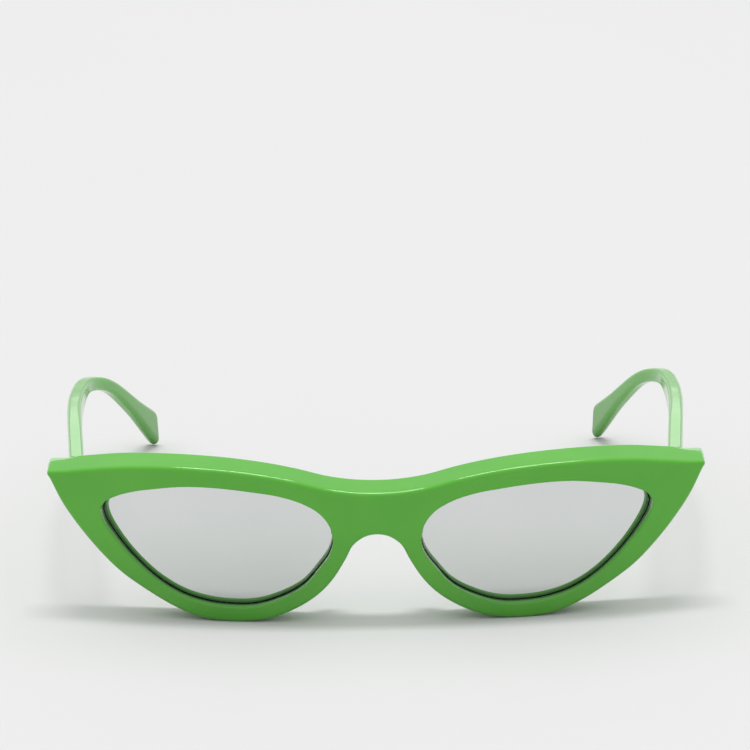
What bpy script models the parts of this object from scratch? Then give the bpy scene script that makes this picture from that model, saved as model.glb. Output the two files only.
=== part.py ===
"""Cat eye sunglasses: an acetate front with two mirrored lenses, nose pads,
five-knuckle hinges and two folding temples with core wires.

Lengths below are millimetres; meshes are written in metres, +Z up.
+X is to the right seen from in front, and the front faces -Y.
The right half (x > 0) is modelled and the left half is its mirror image.
"""
import math

import bpy
import bmesh
from mathutils import Matrix, Vector
from mathutils.geometry import convex_hull_2d

MM = 0.001

# ---------------------------------------------------------------- dimensions
Y_SHIFT = -66.55           # puts the middle of the depth at y = 0

FACE_RADIUS = 260.0       # horizontal bend of the front
FACE_LEAN = math.radians(7.0)   # top of the front leans towards the viewer
FRONT_T = 8.4             # thickness of the front
EDGE_R = 1.0              # rounding of the front's outer edges
WING_START, WING_END = 70.0, 77.2       # where the edges' rounding changes to
WING_R, WING_REAR = 0.65, 5.0           # this inset, and this depth at the back
RIM_R = 0.35              # rounding of the lens openings' edges
CONTACT_U = 32.0          # where the rims touch the table, from the centre

# The lens is part of a sphere, nearest the face at its centre.  Groove and
# bevel are measured behind the lens's front surface.
LENS_CENTRE = (37.0, 19.0)
LENS_RADIUS = 130.0
LENS_NEAR = 1.2
LENS_T = 1.6
LENS_BEVEL = (0.55, 1.05)
LENS_GAP, BEVEL_REACH = 0.15, 0.5
GROOVE_MOUTH = (-0.3, 1.9)
GROOVE_FLOOR = (0.5, 1.1)
GROOVE_DEPTH = 0.8

TEMPLE_L = 142.5
TEMPLE_T = 3.4
TEMPLE_CORNER, CORNER_STEPS = 1.0, 3
TEMPLE_X, TEMPLE_Y, TEMPLE_Z = 71.03, 9.0, 33.0  # outer face at the joint
TEMPLE_SLOPE = math.radians(1.97)
TEMPLE_GAP = 0.15         # butt joint between temple and front
TIP_ROUND, TIP_LOW_ROUND, TIP_SIDE_ROUND = 2.2, 0.9, 1.0
SLANT_START, TIP_SLANT = 118.0, 6.4     # the tip's end slopes down and back
WIRE_R, CHANNEL_R = 0.65, 0.85
WIRE_END, CHANNEL_END = 72.0, 75.0

HINGE_BOTTOM, HINGE_TOP = 29.4, 34.2
HINGE_OFFSET = 1.9        # axis to the temple's inner face, and to the pocket
HINGE_ANGLE = math.radians(15.0)    # direction of the front beside the joint
KNUCKLES, KNUCKLE_GAP = 5, 0.1
BARREL_R, BORE_R, SHANK_R = 1.4, 0.75, 0.7
PLATE_T, PLATE_GAP = 0.8, 0.1
SCREW_R, SCREW_HOLE_R, SCREW_HEAD_R, SCREW_HEAD_H = 0.55, 0.65, 0.85, 0.5

# Outline of the right half of the front, (u, v): u is the distance from the
# centre measured round the front, v the height up the front.  Clockwise from
# the top of the bridge, round the wing tip, to the bottom of the bridge.
OUTLINE = [
    (0, 33.3), (5, 33.5), (11.3, 34.4), (18.6, 36.25), (26, 37.6), (34, 38.45),
    (43, 38.8), (51, 38.65), (59, 38.05), (67.4, 36.65), (73, 35.55),
    (75.9, 35.15), (76.95, 34.85), (77.2, 34.2), (76.5, 32.9), (73.8, 27.25),
    (70.0, 21.5), (65.25, 15.75), (60.3, 10.9), (54.6, 6.9), (47.65, 2.88),
    (41.95, 0.6), (35.7, -0.12), (29.9, 0.08), (24.4, 1.17), (18.5, 3.9),
    (13.9, 7.2), (10.5, 10.95), (7.45, 16.05), (5.6, 19.75), (3.6, 21.55),
    (1.9, 22.35), (0, 22.6)]

# Edge of the right lens opening, clockwise from its inner end.
OPENING = [
    (10.2, 21), (10.9, 24.8), (13.2, 28.1), (17.4, 30.7), (22.9, 32.4),
    (28.5, 33.2), (34, 33.75), (39.6, 34.0), (45.2, 33.8), (50.9, 32.95),
    (56.6, 31.75), (60.6, 30.3), (63.4, 28.6), (64.6, 26.4), (64.1, 23.9),
    (61.7, 20.0), (57.3, 14.7), (51.6, 9.5), (45.7, 6.0), (39.8, 4.3),
    (34.3, 3.8), (28.7, 4.1), (23.2, 5.9), (17.5, 9.2), (13.6, 13.8),
    (11.1, 17.5)]

# Temple: heading in plan (degrees outward), downward turn, height of the
# section and radius of its lower corners, each against distance along it.
TEMPLE_HEADING = [(0, 4.5), (35, 4.5), (77, -2.5), (97, -19.7), (130, -16.4)]
TEMPLE_TURN = [(0, 0), (76, 0), (93, 12.9), (112, 32.4), (142.5, 32.4)]
TEMPLE_HEIGHT = [(0, 8.6), (30, 8.6), (60, 6.5), (88, 3.6), (102, 3.3),
                 (120, 4.3), (142.5, 7.5)]
LOWER_CORNER = [(0, 1.0), (100, 1.0), (142.5, 1.6)]


# ------------------------------------------------------------------- helpers
def smooth_table(table, x):
    """Monotone cubic through the table's points, level past its ends."""
    if x <= table[0][0]:
        return float(table[0][1])
    if x >= table[-1][0]:
        return float(table[-1][1])
    slopes = [(y1 - y0) / (x1 - x0) for (x0, y0), (x1, y1) in zip(table, table[1:])]

    def tangent(i):
        if i in (0, len(table) - 1) or slopes[i - 1] * slopes[i] <= 0:
            return 0.0
        return 2 / (1 / slopes[i - 1] + 1 / slopes[i])

    i = max(k for k, (x0, _) in enumerate(table) if x0 <= x)
    (x0, y0), (x1, y1) = table[i], table[i + 1]
    w = x1 - x0
    t = (x - x0) / w
    return ((1 + 2 * t) * (1 - t) ** 2 * y0 + t * t * (3 - 2 * t) * y1
            + t * (1 - t) ** 2 * w * tangent(i) - t * t * (1 - t) * w * tangent(i + 1))


def curve(points, steps, closed):
    """Smooth curve through the points, `steps` samples to each span."""
    n = len(points)
    pts = [Vector(p) for p in points]

    def at(i):
        if closed:
            return pts[i % n]
        if i < 0:                      # mirror at u = 0 for the half outline
            return Vector((-pts[-i].x, pts[-i].y))
        if i >= n:
            j = 2 * (n - 1) - i
            return Vector((-pts[j].x, pts[j].y))
        return pts[i]

    out = []
    for i in range(n if closed else n - 1):
        p0, p1, p2, p3 = at(i - 1), at(i), at(i + 1), at(i + 2)
        t0 = 0.0
        t1 = t0 + (p1 - p0).length ** 0.5
        t2 = t1 + (p2 - p1).length ** 0.5
        t3 = t2 + (p3 - p2).length ** 0.5
        for k in range(steps):
            t = t1 + (t2 - t1) * k / steps
            a1 = p0.lerp(p1, (t - t0) / (t1 - t0))
            a2 = p1.lerp(p2, (t - t1) / (t2 - t1))
            a3 = p2.lerp(p3, (t - t2) / (t3 - t2))
            b1 = a1.lerp(a2, (t - t0) / (t2 - t0))
            b2 = a2.lerp(a3, (t - t1) / (t3 - t1))
            out.append(b1.lerp(b2, (t - t1) / (t2 - t1)))
    if not closed:
        out.append(pts[-1].copy())
    return out


def left_normals(pts, closed):
    """Unit normals on the left of the direction of travel."""
    n, out = len(pts), []
    for i in range(n):
        a = pts[(i - 1) % n] if closed or i else pts[0]
        b = pts[(i + 1) % n] if closed or i < n - 1 else pts[-1]
        d = (b - a).normalized()
        out.append(Vector((-d.y, d.x)))
    if not closed:
        out[0] = Vector((0, 1))
        out[-1] = Vector((0, -1))
    return out


def opening_at(angle, dense):
    """Point and inward normal of the opening on a ray from the lens centre."""
    best = None
    c = Vector(LENS_CENTRE)
    ray = Vector((math.cos(angle), math.sin(angle)))
    for i, p in enumerate(dense):
        q = dense[(i + 1) % len(dense)]
        a, b = p - c, q - c
        ca, cb = ray.x * a.y - ray.y * a.x, ray.x * b.y - ray.y * b.x
        if ca >= 0 > cb and ray.dot(a + b) > 0:
            t = ca / (ca - cb)
            d = (q - p).normalized()
            best = (p.lerp(q, t), Vector((d.y, -d.x)))
    return best


def face_point(u, v, w):
    """u round the front, v up it, w the depth behind its front surface."""
    th = u / FACE_RADIUS
    x = (FACE_RADIUS - w) * math.sin(th)
    back = (FACE_RADIUS * math.cos(CONTACT_U / FACE_RADIUS)
            - (FACE_RADIUS - w) * math.cos(th))
    return Vector((x, back * math.cos(FACE_LEAN) - v * math.sin(FACE_LEAN),
                   back * math.sin(FACE_LEAN) + v * math.cos(FACE_LEAN)))


def straight_back(p, w):
    """The (u, v) at depth w that lies straight behind a point of the face."""
    s = FACE_RADIUS * math.sin(p.x / FACE_RADIUS) / (FACE_RADIUS - w)
    return Vector((FACE_RADIUS * math.asin(s), p.y))


def lens_depth(p):
    """Depth of the lens's front surface behind the face."""
    u, v = p.x - LENS_CENTRE[0], p.y - LENS_CENTRE[1]
    bend = 1 / LENS_RADIUS - 1 / FACE_RADIUS
    return LENS_NEAR + (u * u * bend + v * v / LENS_RADIUS) / 2


def face_depth(p):
    """The depth w of a point in space behind the front surface."""
    back = p.y * math.cos(FACE_LEAN) + p.z * math.sin(FACE_LEAN)
    reach = FACE_RADIUS * math.cos(CONTACT_U / FACE_RADIUS) - back
    return FACE_RADIUS - math.hypot(p.x, reach)


def add_object(name, verts, faces, material, mirror=False):
    """One closed body from millimetre vertices, checked to face outwards."""
    s = -1.0 if mirror else 1.0
    me = bpy.data.meshes.new(name)
    me.from_pydata([(s * v[0] * MM, (v[1] + Y_SHIFT) * MM, v[2] * MM)
                    for v in verts], [], faces)
    bm = bmesh.new()
    bm.from_mesh(me)
    bmesh.ops.remove_doubles(bm, verts=bm.verts, dist=1e-7)
    bmesh.ops.recalc_face_normals(bm, faces=bm.faces)
    if bm.calc_volume(signed=True) < 0:
        bmesh.ops.reverse_faces(bm, faces=bm.faces)
    bm.to_mesh(me)
    bm.free()
    ob = bpy.data.objects.new(name, me)
    bpy.context.scene.collection.objects.link(ob)
    ob.data.materials.append(material)
    return ob


def boolean(target, tools, operation):
    """Apply exact booleans with throwaway tool objects, then remove them."""
    for tool in tools:
        mod = target.modifiers.new("cut", 'BOOLEAN')
        mod.operation = operation
        mod.solver = 'EXACT'
        mod.object = tool
        dg = bpy.context.evaluated_depsgraph_get()
        me = bpy.data.meshes.new_from_object(target.evaluated_get(dg))
        target.modifiers.clear()
        old = target.data
        target.data = me
        bpy.data.meshes.remove(old)
        bpy.data.objects.remove(tool, do_unlink=True)
    return target


def tidy(ob):
    """Join points that a boolean left on top of one another."""
    bm = bmesh.new()
    bm.from_mesh(ob.data)
    bmesh.ops.remove_doubles(bm, verts=bm.verts, dist=1e-6)
    bmesh.ops.dissolve_degenerate(bm, edges=bm.edges, dist=1e-6)
    bmesh.ops.triangulate(bm, faces=bm.faces)
    bmesh.ops.recalc_face_normals(bm, faces=bm.faces)
    if bm.calc_volume(signed=True) < 0:
        bmesh.ops.reverse_faces(bm, faces=bm.faces)
    bm.to_mesh(ob.data)
    bm.free()


def ring_body(rings, closed=False):
    """Vertices and faces of a body skinned over rings of equal length."""
    n = len(rings[0])
    verts = [p for r in rings for p in r]
    faces = []
    last = len(rings) if closed else len(rings) - 1
    for i in range(last):
        a, b = i * n, ((i + 1) % len(rings)) * n
        for k in range(n):
            k2 = (k + 1) % n
            faces.append((a + k, a + k2, b + k2, b + k))
    if not closed:
        faces.append(tuple(range(n))[::-1])
        faces.append(tuple(range((len(rings) - 1) * n, len(rings) * n)))
    return verts, faces


def prism(profile, z0, z1):
    """A vertical prism on a plan outline."""
    return ring_body([[Vector((p[0], p[1], z0)) for p in profile],
                      [Vector((p[0], p[1], z1)) for p in profile]])


def rod(start, end, radii, sides):
    """A turned body: (distance from start, radius) pairs along a line."""
    axis = (end - start).normalized()
    side = axis.cross(Vector((0, 0, 1)))
    if side.length < 1e-6:
        side = Vector((1, 0, 0))
    side.normalize()
    up = axis.cross(side)
    rings = []
    for along, r in radii:
        c = start + axis * along
        rings.append([c + side * (r * math.cos(2 * math.pi * k / sides))
                      + up * (r * math.sin(2 * math.pi * k / sides))
                      for k in range(sides)])
    return ring_body(rings)


# ----------------------------------------------------------------- materials
def material(name, color, metallic, roughness, coat=0.0):
    m = bpy.data.materials.new(name)
    m.use_nodes = True
    b = m.node_tree.nodes["Principled BSDF"]
    b.inputs["Base Color"].default_value = (*color, 1.0)
    b.inputs["Metallic"].default_value = metallic
    b.inputs["Roughness"].default_value = roughness
    b.inputs["Coat Weight"].default_value = coat
    m.diffuse_color = (*color, 1.0)
    return m


# --------------------------------------------------------------------- front
def front_sections(steps):
    """Outline points paired with opening points on rays from the lens."""
    dense = curve(OPENING, 12, True)
    outer = curve(OUTLINE, steps, False)
    normals = left_normals(outer, False)
    stations = [(p, n, True) for p, n in zip(outer, normals)]
    top, low = OUTLINE[0][1] - EDGE_R, OUTLINE[-1][1] + EDGE_R
    seam = 4
    for k in range(1, seam):
        stations.append((Vector((0, low + (top - low) * k / seam)), None, False))
    c = Vector(LENS_CENTRE)
    out = []
    for p, n, edge in stations:
        d = p - c
        out.append((p, n, edge) + opening_at(math.atan2(d.y, d.x), dense))
    return out


def front_section(p, n, edge, hole, inward):
    """(point, depth) pairs round one section of the front."""
    t, q = FRONT_T, RIM_R
    k = 1 - math.sqrt(0.5)
    wing = min(max((p.x - WING_START) / (WING_END - WING_START), 0), 1)
    r = EDGE_R + (WING_R - EDGE_R) * wing
    depth = EDGE_R + (WING_REAR - EDGE_R) * wing
    start = p - n * r if edge else p
    rear = straight_back(start, t) if edge else p
    stop = hole - inward * q
    mouth = [lens_depth(hole) + w for w in GROOVE_MOUTH]
    floor = [lens_depth(hole) + w for w in GROOVE_FLOOR]
    section = [(start.lerp(stop, f), 0.0) for f in (0, 1 / 3, 2 / 3, 1)]
    section += [(hole - inward * (q * k), q * k), (hole, q), (hole, mouth[0]),
                (hole - inward * GROOVE_DEPTH, floor[0]),
                (hole - inward * GROOVE_DEPTH, floor[1]),
                (hole, mouth[1]), (hole, t - q), (hole - inward * (q * k), t - q * k)]
    section += [(stop.lerp(rear, f), t) for f in (0, 1 / 3, 2 / 3, 1)]
    if edge:
        side = [(p - n * (r * k), t - depth * k), (p, t - depth), (p, r),
                (p - n * (r * k), r * k)]
        section += [(straight_back(a, w), w) for a, w in side]
    return section


def build_front(mat):
    rows = []
    for station in front_sections(2):
        rows.append([face_point(a.x, a.y, w) for a, w in front_section(*station)])
    verts, index = [], []
    for row in rows:
        index.append(list(range(len(verts), len(verts) + len(row))))
        verts += row
    count = 16                                 # face and opening rows
    full = 20                                  # with the outer edge rows
    faces = []
    m = len(rows)
    for i in range(m):
        a, b = index[i], index[(i + 1) % m]
        both = len(a) == full and len(b) == full
        for j in range(count - 1):
            faces.append((a[j], a[j + 1], b[j + 1], b[j]))
        if both:
            for j in range(count - 1, full):
                j2 = (j + 1) % full
                faces.append((a[j], a[j2], b[j2], b[j]))
    base = len(verts)
    verts += [Vector((-v.x, v.y, v.z)) for v in verts]
    faces += [tuple(base + i for i in reversed(f)) for f in faces]
    return add_object("front_frame", verts, faces, mat)


# -------------------------------------------------------------------- lenses
def build_lens(name, mat, mirror):
    edge = curve(OPENING, 2, True)
    inward = [-n for n in left_normals(edge, True)]
    c = Vector(LENS_CENTRE)
    body = [p + n * LENS_GAP for p, n in zip(edge, inward)]
    tip = [p - n * BEVEL_REACH for p, n in zip(edge, inward)]
    verts, rings = [], []

    def ring(pts, behind):
        rings.append(len(verts))
        verts.extend(face_point(p.x, p.y, lens_depth(p) + behind) for p in pts)

    scales = (0.3, 0.55, 0.8, 1.0)
    for f in scales:
        ring([c.lerp(p, f) for p in body], 0.0)
    ring(tip, LENS_BEVEL[0])
    ring(tip, LENS_BEVEL[1])
    for f in reversed(scales):
        ring([c.lerp(p, f) for p in body], LENS_T)
    n = len(edge)
    faces = []
    for a, b in zip(rings, rings[1:]):
        for k in range(n):
            k2 = (k + 1) % n
            faces.append((a + k, b + k, b + k2, a + k2))
    for start, behind in ((rings[0], 0.0), (rings[-1], LENS_T)):
        mid = len(verts)
        verts.append(face_point(c.x, c.y, lens_depth(c) + behind))
        for k in range(n):
            faces.append((mid, start + k, start + (k + 1) % n))
    return add_object(name, verts, faces, mat, mirror)


def build_nose_pad(name, mat, mirror):
    """A low rounded pad bonded behind the rim beside the nose."""
    centre, along = Vector((12.2, 12.75)), Vector((-0.53, 0.848))
    across = Vector((along.y, -along.x))
    rings = []
    for w, size in ((0.1, 0.9), (0.5, 1.0), (1.4, 0.94), (2.2, 0.72), (2.6, 0.4)):
        loop = []
        for k in range(20):
            a = 2 * math.pi * k / 20
            p = (centre + along * (5.2 * size * math.cos(a))
                 + across * (1.5 * size * math.sin(a) - 0.25 * w))
            loop.append(face_point(p.x, p.y, FRONT_T + w))
        rings.append(loop)
    verts, faces = ring_body(rings)
    return add_object(name, verts, faces, mat, mirror)


# ------------------------------------------------------------------- temples
def temple_tables():
    """Plan and side positions of the temple's path at half-millimetre steps."""
    step, plan, side = 0.5, [], []
    x, y = TEMPLE_X, TEMPLE_Y
    s = z = 0.0
    for i in range(int(TEMPLE_L / step) + 30):
        h = math.radians(smooth_table(TEMPLE_HEADING, (i + 0.5) * step))
        plan.append((x, y))
        x += math.sin(h) * step
        y += math.cos(h) * step
        a = math.radians(smooth_table(TEMPLE_TURN, (i + 0.5) * step))
        side.append((s, z))
        s += math.cos(a) * step
        z -= math.sin(a) * step
    return step, plan, side


def sample(table, step, at):
    i = min(max(int(math.floor(at / step)), 0), len(table) - 2)
    f = at / step - i
    (a, b), (c, d) = table[i], table[i + 1]
    return a + (c - a) * f, b + (d - b) * f


TABLES = temple_tables()


def temple_point(q, n, b):
    """q along the temple, n inwards from its outer face, b up its section."""
    step, plan, side = TABLES
    s, z = sample(side, step, q)
    turn = math.radians(smooth_table(TEMPLE_TURN, q))
    s += b * math.sin(turn)
    z += b * math.cos(turn)
    x, y = sample(plan, step, s)
    h = math.radians(smooth_table(TEMPLE_HEADING, s))
    x -= n * math.cos(h)
    y += n * math.sin(h) - TEMPLE_Y
    c, d = math.cos(TEMPLE_SLOPE), math.sin(TEMPLE_SLOPE)
    return Vector((x, TEMPLE_Y + y * c + z * d, TEMPLE_Z - y * d + z * c))


def butt_point(n, b):
    """The temple's end, cut to lie against the back of the front."""
    q = 0.0
    for _ in range(6):
        q += FRONT_T + TEMPLE_GAP - face_depth(temple_point(q, n, b))
    return temple_point(q, n, b)


def closing(q, radius):
    """How far a surface has rounded inwards at distance q, near the tip."""
    past = max(q - (TEMPLE_L - radius), 0.0)
    return radius - math.sqrt(max(radius ** 2 - past ** 2, 0.0))


def section_point(i, at, q):
    """Point i of the rounded section (n, b) at distance `at`, closed in as far
    as the end of the tip asks for at distance q."""
    half = smooth_table(TEMPLE_HEIGHT, at) / 2
    inset = 0.8 * closing(q, TIP_SIDE_ROUND)
    n0, n1 = inset, TEMPLE_T - inset
    b0, b1 = closing(q, TIP_LOW_ROUND) - half, half - closing(q, TIP_ROUND)
    corner, step = divmod(i, CORNER_STEPS + 1)
    r = TEMPLE_CORNER if corner < 2 else smooth_table(LOWER_CORNER, at)
    r = min(r, 0.95 * (b1 - b0) / 2, 0.95 * (n1 - n0) / 2)
    n = n1 - r if corner in (0, 3) else n0 + r
    b = b1 - r if corner < 2 else b0 + r
    a = math.radians(90 * (corner + step / CORNER_STEPS))
    return n + r * math.cos(a), b + r * math.sin(a)


def temple_section(q):
    return [section_point(i, q, q) for i in range(4 * (CORNER_STEPS + 1))]


def temple_ring(q):
    """Points round the temple; near the tip the upper ones lie further forward."""
    lean = TIP_SLANT * max(q - SLANT_START, 0) / (TEMPLE_L - SLANT_START)
    ring = []
    for i, (n, b) in enumerate(temple_section(q)):
        at = q - lean * (b / smooth_table(TEMPLE_HEIGHT, q) + 0.5)
        ring.append(temple_point(at, *section_point(i, at, q)))
    return ring


def wire_section(r):
    """Circle (n, b) about the middle of the section, ordered as sections are."""
    return [(TEMPLE_T / 2 + r * math.cos(a), r * math.sin(a))
            for a in (2 * math.pi * k / 16 for k in range(16))]


def build_temple(name, mat, mirror):
    """Skin from the blind end of the wire's channel, out of its mouth at the
    butt joint, and back along the outside to the tip."""
    rings = [[temple_point(q, n, b) for n, b in wire_section(CHANNEL_R)]
             for q in (CHANNEL_END, 60.0, 47.0, 35.0, 20.0, 8.0)]
    rings.append([butt_point(n, b) for n, b in wire_section(CHANNEL_R)])
    rings.append([butt_point(n, b) for n, b in temple_section(0.0)])
    stops = [6, 14, 24, 35, 44, 54, 64, 72, 77, 81, 85, 89, 93, 97, 101, 105,
             109, 113, 118, 122, 126, 130, 135]
    stops += [TEMPLE_L - TIP_ROUND * f for f in (1.0, 0.65, 0.4, 0.2, 0.02)]
    rings += [temple_ring(q) for q in stops]
    verts, faces = ring_body(rings)
    return add_object(name, verts, faces, mat, mirror)


def build_wire(name, mat, mirror):
    rings = [[temple_point(q, n, b) for n, b in wire_section(WIRE_R)]
             for q in (4.5, 8.0, 20.0, 35.0, 47.0, 60.0, WIRE_END)]
    verts, faces = ring_body(rings)
    return add_object(name, verts, faces, mat, mirror)


# -------------------------------------------------------------------- hinges
def rear_point(theta, z):
    """The point of the front's back surface at a plan angle and height."""
    back = (FACE_RADIUS * math.cos(CONTACT_U / FACE_RADIUS)
            - (FACE_RADIUS - FRONT_T) * math.cos(theta))
    v = (z - back * math.sin(FACE_LEAN)) / math.cos(FACE_LEAN)
    return face_point(theta * FACE_RADIUS, v, FRONT_T)


def hinge_frames():
    """Axis of the right hinge and the plan directions of its two leaves."""
    h = math.radians(TEMPLE_HEADING[0][1])
    out, aft = Vector((math.cos(h), -math.sin(h))), Vector((math.sin(h), math.cos(h)))
    along = Vector((math.cos(HINGE_ANGLE), math.sin(HINGE_ANGLE)))
    behind = Vector((-math.sin(HINGE_ANGLE), math.cos(HINGE_ANGLE)))
    floor = rear_point(HINGE_ANGLE, HINGE_TOP + 0.1).to_2d() - behind * 0.25
    inner = temple_point(0.0, TEMPLE_T, 0.0).to_2d() - out * HINGE_OFFSET
    k = (HINGE_OFFSET - (inner - floor).dot(behind)) / aft.dot(behind)
    return inner + aft * k, out, aft, along, behind


def knuckle_spans():
    size = (HINGE_TOP - HINGE_BOTTOM - KNUCKLE_GAP * (KNUCKLES - 1)) / KNUCKLES
    return [(HINGE_BOTTOM + i * (size + KNUCKLE_GAP),
             HINGE_BOTTOM + i * (size + KNUCKLE_GAP) + size)
            for i in range(KNUCKLES)]


def leaf(name, mat, mirror, axis, side, run, lo, hi, length, spans, screws):
    """Plate and knuckles: the plate lies lo..hi along `side` from the axis
    and runs `length` along `run`; its knuckles take the given spans."""
    def at(a, b):
        return axis + run * a + side * b

    plate = [at(1.6, lo), at(1.6 + length, lo), at(1.6 + length, hi), at(1.6, hi)]
    verts, faces = prism(plate, HINGE_BOTTOM, HINGE_TOP)
    ob = add_object(name, verts, faces, mat, mirror)
    circle = [axis + Vector((math.cos(a), math.sin(a))) * BARREL_R
              for a in (2 * math.pi * k / 20 for k in range(20))]
    pts = circle + [at(2.3, lo + 0.1), at(2.3, hi - 0.1)]
    profile = [pts[i] for i in convex_hull_2d(pts)]
    tools = []
    for z0, z1 in spans:
        v, f = prism(profile, z0, z1)
        tools.append(add_object("knuckle", v, f, mat, mirror))
    boolean(ob, tools, 'UNION')
    cuts = []
    v, f = prism([axis + Vector((math.cos(a), math.sin(a))) * BORE_R
                  for a in (2 * math.pi * k / 20 for k in range(20))],
                 HINGE_BOTTOM - 1, HINGE_TOP + 1)
    cuts.append(add_object("bore", v, f, mat, mirror))
    for a, z in screws:
        p0, p1 = at(a, lo - 1), at(a, hi + 1)
        s, e = Vector((p0.x, p0.y, z)), Vector((p1.x, p1.y, z))
        v, f = rod(s, e, [(0, SCREW_HOLE_R), ((e - s).length, SCREW_HOLE_R)], 12)
        cuts.append(add_object("hole", v, f, mat, mirror))
    boolean(ob, cuts, 'DIFFERENCE')
    tidy(ob)
    return ob


def fixing_screw(name, mat, mirror, axis, side, run, a, z, head_at, length):
    """Headed screw whose head sits on the plate at head_at along `side`."""
    p = axis + run * a + side * head_at
    s = Vector((p.x, p.y, z)) - Vector((side.x, side.y, 0)) * SCREW_HEAD_H
    e = s + Vector((side.x, side.y, 0)) * length
    v, f = rod(s, e, [(0, SCREW_HEAD_R * 0.8), (0.15, SCREW_HEAD_R),
                      (SCREW_HEAD_H, SCREW_HEAD_R), (SCREW_HEAD_H, SCREW_R),
                      (length, SCREW_R)], 12)
    return add_object(name, v, f, mat, mirror)


def build_hinge(tag, mirror, mats, front, temple):
    axis, out, aft, along, behind = hinge_frames()
    spans = knuckle_spans()
    steel, screw_mat = mats
    ahead, inboard = -behind, -along
    near, far = HINGE_OFFSET - PLATE_GAP - PLATE_T, HINGE_OFFSET - PLATE_GAP
    front_screws = [(3.25, 30.5), (3.25, 33.1)]
    temple_screws = [(4.2, 31.0), (7.6, 31.0)]
    leaf("hinge_front_leaf_" + tag, steel, mirror, axis, ahead, inboard,
         near, far, 2.8, spans[0::2], front_screws)
    leaf("hinge_temple_leaf_" + tag, steel, mirror, axis, out, aft,
         near, far, 7.6, spans[1::2], temple_screws)

    # pocket in the back of the front, with its floor parallel to the pin
    def at(a, b):
        return axis + along * a + behind * b

    pocket = [at(-4.6, -HINGE_OFFSET), at(1.65, -HINGE_OFFSET), at(1.65, 4), at(-4.6, 4)]
    v, f = prism(pocket, HINGE_BOTTOM - 0.15, HINGE_TOP + 0.1)
    cuts = [add_object("pocket", v, f, steel, mirror)]
    for a, z in front_screws:
        p = axis + inboard * a
        s = Vector((p.x, p.y, z))
        e = s + Vector((ahead.x, ahead.y, 0)) * (HINGE_OFFSET + 3.0)
        v, f = rod(s, e, [(0, SCREW_HOLE_R), (HINGE_OFFSET + 3.0, SCREW_HOLE_R)], 12)
        cuts.append(add_object("hole", v, f, steel, mirror))
    boolean(front, cuts, 'DIFFERENCE')
    cuts = []
    for a, z in temple_screws:
        p = axis + aft * a
        s = Vector((p.x, p.y, z))
        v, f = rod(s, s + Vector((out.x, out.y, 0)),
                   [(0.5, SCREW_HOLE_R), (HINGE_OFFSET + 2.4, SCREW_HOLE_R)], 12)
        cuts.append(add_object("hole", v, f, steel, mirror))
    boolean(temple, cuts, 'DIFFERENCE')
    tidy(temple)

    for i, (a, z) in enumerate(front_screws):
        fixing_screw("front_screw_%d_%s" % (i + 1, tag), screw_mat, mirror,
                     axis, ahead, inboard, a, z, near - 0.02, 4.0)
    for i, (a, z) in enumerate(temple_screws):
        fixing_screw("temple_screw_%d_%s" % (i + 1, tag), screw_mat, mirror,
                     axis, out, aft, a, z, near - 0.02, 3.4)

    # pivot screw from above, its head on the top knuckle
    s = Vector((axis.x, axis.y, HINGE_TOP + 0.55))
    e = Vector((axis.x, axis.y, HINGE_BOTTOM))
    v, f = rod(s, e, [(0, 0.95), (0.12, 1.15), (0.5, 1.15), (0.5, SHANK_R),
                      (s.z - HINGE_BOTTOM + 0.1, SHANK_R)], 20)
    add_object("pivot_screw_" + tag, v, f, screw_mat, mirror)
    return axis


# --------------------------------------------------------------------- build
for ob in list(bpy.data.objects):
    bpy.data.objects.remove(ob, do_unlink=True)

acetate = material("acetate_green", (0.10, 0.37, 0.05), 0.0, 0.12, 0.4)
pad_mat = material("nose_pad_green", (0.12, 0.40, 0.06), 0.0, 0.2, 0.3)
lens_mat = material("lens_mirror", (0.72, 0.74, 0.73), 1.0, 0.06)
steel = material("hinge_steel", (0.62, 0.61, 0.58), 1.0, 0.3)
screw_mat = material("screw_steel", (0.72, 0.71, 0.69), 1.0, 0.22)
wire_mat = material("core_wire", (0.60, 0.60, 0.60), 1.0, 0.35)

front = build_front(acetate)
for tag, mirror in (("right", False), ("left", True)):
    build_lens("lens_" + tag, lens_mat, mirror)
    build_nose_pad("nose_pad_" + tag, pad_mat, mirror)
    temple = build_temple("temple_" + tag, acetate, mirror)
    build_wire("core_wire_" + tag, wire_mat, mirror)
    axis = build_hinge(tag, mirror, (steel, screw_mat), front, temple)
tidy(front)

# every temple-side piece hangs from an empty on its pivot screw's axis
for tag, s in (("right", 1.0), ("left", -1.0)):
    place = Vector((s * axis.x * MM, (axis.y + Y_SHIFT) * MM,
                    (HINGE_BOTTOM + HINGE_TOP) / 2 * MM))
    pivot = bpy.data.objects.new("fold_" + tag, None)
    pivot.location = place
    bpy.context.scene.collection.objects.link(pivot)
    for name in ("temple_", "core_wire_", "hinge_temple_leaf_",
                 "temple_screw_1_", "temple_screw_2_"):
        ob = bpy.data.objects[name + tag]
        ob.parent = pivot
        ob.matrix_parent_inverse = Matrix.Translation(-place)
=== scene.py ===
"""Cat eye sunglasses: fine meshes, materials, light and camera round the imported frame.

Lengths in the dimensions below are millimetres; every object is in metres, +Z up.
The right half (x > 0) is made first and the left half is its mirror image.
"""
import math

import bpy
import bmesh
from mathutils import Matrix, Vector


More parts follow.
